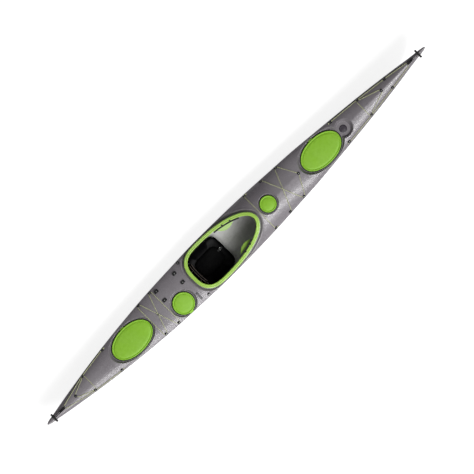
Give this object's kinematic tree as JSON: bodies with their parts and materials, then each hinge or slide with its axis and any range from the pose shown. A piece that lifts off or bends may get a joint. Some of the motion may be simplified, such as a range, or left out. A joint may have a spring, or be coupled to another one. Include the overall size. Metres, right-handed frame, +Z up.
{
  "type": "sea kayak",
  "caption": "Touring sea kayak: two-part shell with sealed compartments under lift-off hatch covers, cockpit with seat and footrests, drop skeg, deck bungees and carrying toggles.",
  "frame": {"origin": "on the keel line below the middle of the boat, at the level of the flat of the keel", "axes": "+X to the bow, +Y to port, +Z up from the keel"},
  "size_m": [5.46, 0.521, 0.4652],
  "materials": {
    "deck_gelcoat": "polished gelcoat, dark silver grey",
    "hull_gelcoat": "gelcoat, light grey",
    "lime_gelcoat": "gelcoat, lime green",
    "hatch_cover": "soft moulded rubber, lime green",
    "hatch_rim": "moulded, black",
    "black_plastic": "moulded, fine grain",
    "seat_moulding": "moulded, satin",
    "foam_pad": "closed-cell foam under stretch cloth",
    "bulkhead_board": "foam-cored board with a laminated face",
    "inner_laminate": "bare laminate, woven",
    "deck_cord": "braided sheath",
    "stainless": "brushed",
    "toggle_rubber": "moulded grip",
    "cable_sheath": "smooth sheath"
  },
  "bodies": {
    "hull": {"hull_shell": "hull_gelcoat", "deck_shell": "deck_gelcoat", "coaming": "lime_gelcoat", "front_bulkhead": "bulkhead_board", "day_bulkhead": "bulkhead_board", "rear_bulkhead": "bulkhead_board", "knee_pod": "inner_laminate", "bow_hatch_rim": "hatch_rim", "stern_hatch_rim": "hatch_rim", "day_hatch_rim": "hatch_rim", "pod_hatch_rim": "hatch_rim", "compass_blank": "black_plastic", "seat_pan": "seat_moulding", "seat_pad": "foam_pad", "backrest_rod": "stainless", "port_thigh_brace": "lime_gelcoat", "starboard_thigh_brace": "lime_gelcoat", "port_footrest_rail": "black_plastic", "starboard_footrest_rail": "black_plastic", "skeg_box": "inner_laminate", "skeg_pin": "stainless", "skeg_track": "black_plastic", "skeg_cable": "cable_sheath", "fore_bungee_fitting_aft_port": "black_plastic", "fore_bungee_fitting_fore_port": "black_plastic", "aft_bungee_fitting_fore_port": "black_plastic", "aft_bungee_fitting_aft_port": "black_plastic", "fore_bungee_fitting_aft_starboard": "black_plastic", "fore_bungee_fitting_fore_starboard": "black_plastic", "aft_bungee_fitting_fore_starboard": "black_plastic", "aft_bungee_fitting_aft_starboard": "black_plastic", "fore_bungee_fitting_tip": "black_plastic", "fore_park_fitting": "black_plastic", "aft_park_fitting": "black_plastic", "mounting_pad_fore_inner": "black_plastic", "mounting_pad_fore_outer": "black_plastic", "mounting_pad_aft_inner": "black_plastic", "mounting_pad_aft_outer": "black_plastic", "fore_bungee": "deck_cord", "aft_bungee": "deck_cord", "fore_park_line": "deck_cord", "aft_park_line": "deck_cord", "cockpit_cross_line": "deck_cord", "fore_perimeter_line": "deck_cord", "aft_perimeter_line": "deck_cord", "bow_end_fitting": "black_plastic", "stern_end_fitting": "black_plastic"},
    "bow_cover": {"bow_hatch_cover": "hatch_cover"},
    "stern_cover": {"stern_hatch_cover": "hatch_cover"},
    "day_cover": {"day_hatch_cover": "hatch_cover"},
    "pod_cover": {"pod_hatch_cover": "hatch_cover"},
    "slider": {"skeg_slider": "lime_gelcoat"},
    "skeg": {"skeg_blade": "black_plastic"},
    "port_pedal": {"port_foot_pedal": "black_plastic"},
    "starboard_pedal": {"starboard_foot_pedal": "black_plastic"},
    "backrest": {"backrest": "foam_pad"},
    "bow_toggle": {"bow_toggle": "toggle_rubber", "bow_toggle_loop": "deck_cord"},
    "stern_toggle": {"stern_toggle": "toggle_rubber", "stern_toggle_loop": "deck_cord"}
  },
  "joints": [
    {"name": "bow_cover_lift", "type": "slide", "parent": "hull", "child": "bow_cover", "axis": [-0.0419, 0, 0.9991], "range_m": [0, 0.3]},
    {"name": "stern_cover_lift", "type": "slide", "parent": "hull", "child": "stern_cover", "axis": [0.0366, 0, 0.9993], "range_m": [0, 0.3]},
    {"name": "day_cover_lift", "type": "slide", "parent": "hull", "child": "day_cover", "axis": [0.0087, -0.0871, 0.9962], "range_m": [0, 0.3]},
    {"name": "pod_cover_lift", "type": "slide", "parent": "hull", "child": "pod_cover", "axis": [0.0436, 0, 0.999], "range_m": [0, 0.3]},
    {"name": "skeg_slide", "type": "slide", "parent": "hull", "child": "slider", "axis": [-0.0017, -0.9876, -0.1571], "range_m": [0, 0.05]},
    {"name": "skeg_hinge", "type": "hinge", "parent": "hull", "child": "skeg", "pos_m": [-1.49196, 0, 0.038], "axis": [0, -1, 0], "range_deg": [0, 60]},
    {"name": "port_pedal_slide", "type": "slide", "parent": "hull", "child": "port_pedal", "axis": [0.998, -0.0638, 0], "range_m": [-0.13, 0.13]},
    {"name": "starboard_pedal_slide", "type": "slide", "parent": "hull", "child": "starboard_pedal", "axis": [0.998, 0.0638, 0], "range_m": [-0.13, 0.13]},
    {"name": "backrest_tilt", "type": "hinge", "parent": "hull", "child": "backrest", "pos_m": [-0.55, 0, 0.0873], "axis": [0, 1, 0], "range_deg": [-6, 50]},
    {"name": "bow_toggle_swing", "type": "hinge", "parent": "hull", "child": "bow_toggle", "pos_m": [2.53115, 0, 0.44888], "axis": [0, -1, 0], "range_deg": [0, 120]},
    {"name": "stern_toggle_swing", "type": "hinge", "parent": "hull", "child": "stern_toggle", "pos_m": [-2.53181, 0, 0.39365], "axis": [0, 1, 0], "range_deg": [0, 120]}
  ],
  "couplings": [
    {"joint": "skeg_hinge", "follows": "skeg_slide", "rad_per_m": 20.94}
  ]
}
